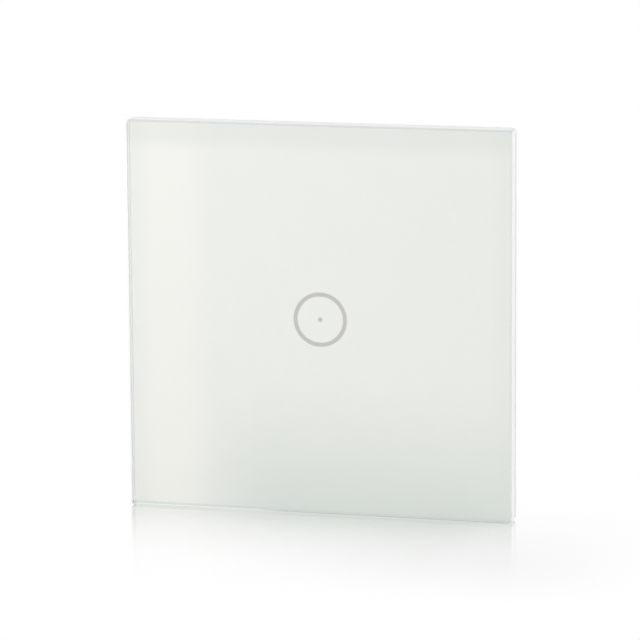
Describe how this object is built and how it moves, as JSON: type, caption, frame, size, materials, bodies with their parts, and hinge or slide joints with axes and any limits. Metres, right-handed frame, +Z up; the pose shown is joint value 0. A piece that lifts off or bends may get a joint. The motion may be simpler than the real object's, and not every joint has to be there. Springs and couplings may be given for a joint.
{
  "type": "touch light switch",
  "caption": "Square wall light switch with a white glass touch panel, steel mounting plate, relay circuit in a deep housing and screw terminals.",
  "frame": {"origin": "middle of the wall plane, level with the rear face of the mounting plate", "axes": "+X right as seen from the room, +Y into the wall, +Z up"},
  "size_m": [0.086, 0.0364, 0.086],
  "materials": {
    "panel_glass": "clear float glass with polished edges",
    "white_print": "opaque white print on the back of the glass",
    "symbol_ink": "translucent grey ink",
    "foam_tape": "white double-sided tape",
    "white_plastic": "moulded white polycarbonate, fine texture",
    "housing_plastic": "moulded light grey flame-retardant plastic",
    "plate_steel": "zinc plated sheet steel",
    "spring_steel": "bright spring steel",
    "screw_steel": "plated steel",
    "clear_plastic": "frosted clear acrylic",
    "circuit_board": "green solder resist on glass fibre board",
    "led_body": "pale lamp body with a clear lens",
    "chip_black": "black moulded package",
    "shield_metal": "tinned sheet",
    "header_plastic": "black moulded plug body",
    "tinned_pin": "tinned pins and leads",
    "film_case": "yellow cast case",
    "can_sleeve": "dark shrink sleeve on an aluminium can",
    "ferrite": "dark ferrite",
    "copper_wire": "enamelled copper wire",
    "varistor_coat": "blue dipped coating",
    "resistor_body": "painted ceramic body",
    "relay_plastic": "dark blue moulded case",
    "spool_plastic": "natural moulded plastic",
    "relay_iron": "nickel plated soft iron",
    "contact_brass": "spring bronze and silver contacts",
    "terminal_plastic": "moulded grey terminal body",
    "terminal_metal": "plated brass"
  },
  "bodies": {
    "root": {"mounting_plate": "plate_steel", "clip_frame": "white_plastic", "retaining_springs": "spring_steel", "rear_housing": "housing_plastic", "front_cover": "housing_plastic", "cover_screws": "screw_steel", "light_guide": "clear_plastic", "touch_spring": "spring_steel", "touch_board": "circuit_board", "indicator_leds": "led_body", "touch_chip": "chip_black", "radio_board": "circuit_board", "radio_shield": "shield_metal", "radio_chip": "chip_black", "pin_header": "header_plastic", "header_pins": "tinned_pin", "header_socket": "header_plastic", "power_board": "circuit_board", "board_screws": "screw_steel", "filter_capacitor": "film_case", "storage_capacitor": "can_sleeve", "choke_core": "ferrite", "choke_coil": "copper_wire", "varistor": "varistor_coat", "fuse_resistor": "resistor_body", "bridge_rectifier": "chip_black", "power_chip": "chip_black", "relay_case": "relay_plastic", "relay_base": "relay_plastic", "relay_pins": "tinned_pin", "relay_yoke": "relay_iron", "relay_core": "relay_iron", "relay_spool": "spool_plastic", "relay_coil": "copper_wire", "relay_fixed_contact": "contact_brass", "terminal_block": "terminal_plastic", "terminal_tongues": "terminal_metal"},
    "front_panel": {"glass_panel": "panel_glass", "printed_film": "white_print", "touch_symbol": "symbol_ink", "panel_tape": "foam_tape", "panel_carrier": "white_plastic"},
    "armature": {"relay_armature": "relay_iron", "relay_contact_blade": "contact_brass"},
    "clamp_screw_1": {"terminal_screw_1": "screw_steel"},
    "clamp_cage_1": {"terminal_cage_1": "terminal_metal"},
    "clamp_screw_2": {"terminal_screw_2": "screw_steel"},
    "clamp_cage_2": {"terminal_cage_2": "terminal_metal"},
    "clamp_screw_3": {"terminal_screw_3": "screw_steel"},
    "clamp_cage_3": {"terminal_cage_3": "terminal_metal"}
  },
  "joints": [
    {"name": "panel_slide", "type": "slide", "parent": "root", "child": "front_panel", "axis": [0, -1, 0], "range_m": [0, 0.012]},
    {"name": "armature_tilt", "type": "hinge", "parent": "root", "child": "armature", "pos_m": [-0.0115, 0.0201, -0.004], "axis": [1, 0, 0], "range_deg": [0, 4], "stiffness_Nm_per_rad": 0.002},
    {"name": "clamp_screw_1_turn", "type": "hinge", "parent": "root", "child": "clamp_screw_1", "pos_m": [-0.01, 0.0197, -0.015], "axis": [0, -1, 0], "range_deg": [0, 1800]},
    {"name": "clamp_cage_1_lift", "type": "slide", "parent": "root", "child": "clamp_cage_1", "axis": [0, 1, 0], "range_m": [0, 0.003]},
    {"name": "clamp_screw_2_turn", "type": "hinge", "parent": "root", "child": "clamp_screw_2", "pos_m": [0, 0.0197, -0.015], "axis": [0, -1, 0], "range_deg": [0, 1800]},
    {"name": "clamp_cage_2_lift", "type": "slide", "parent": "root", "child": "clamp_cage_2", "axis": [0, 1, 0], "range_m": [0, 0.003]},
    {"name": "clamp_screw_3_turn", "type": "hinge", "parent": "root", "child": "clamp_screw_3", "pos_m": [0.01, 0.0197, -0.015], "axis": [0, -1, 0], "range_deg": [0, 1800]},
    {"name": "clamp_cage_3_lift", "type": "slide", "parent": "root", "child": "clamp_cage_3", "axis": [0, 1, 0], "range_m": [0, 0.003]}
  ],
  "couplings": [
    {"joint": "clamp_screw_1_turn", "follows": "clamp_cage_1_lift", "rad_per_m": 10472},
    {"joint": "clamp_screw_2_turn", "follows": "clamp_cage_2_lift", "rad_per_m": 10472},
    {"joint": "clamp_screw_3_turn", "follows": "clamp_cage_3_lift", "rad_per_m": 10472}
  ]
}
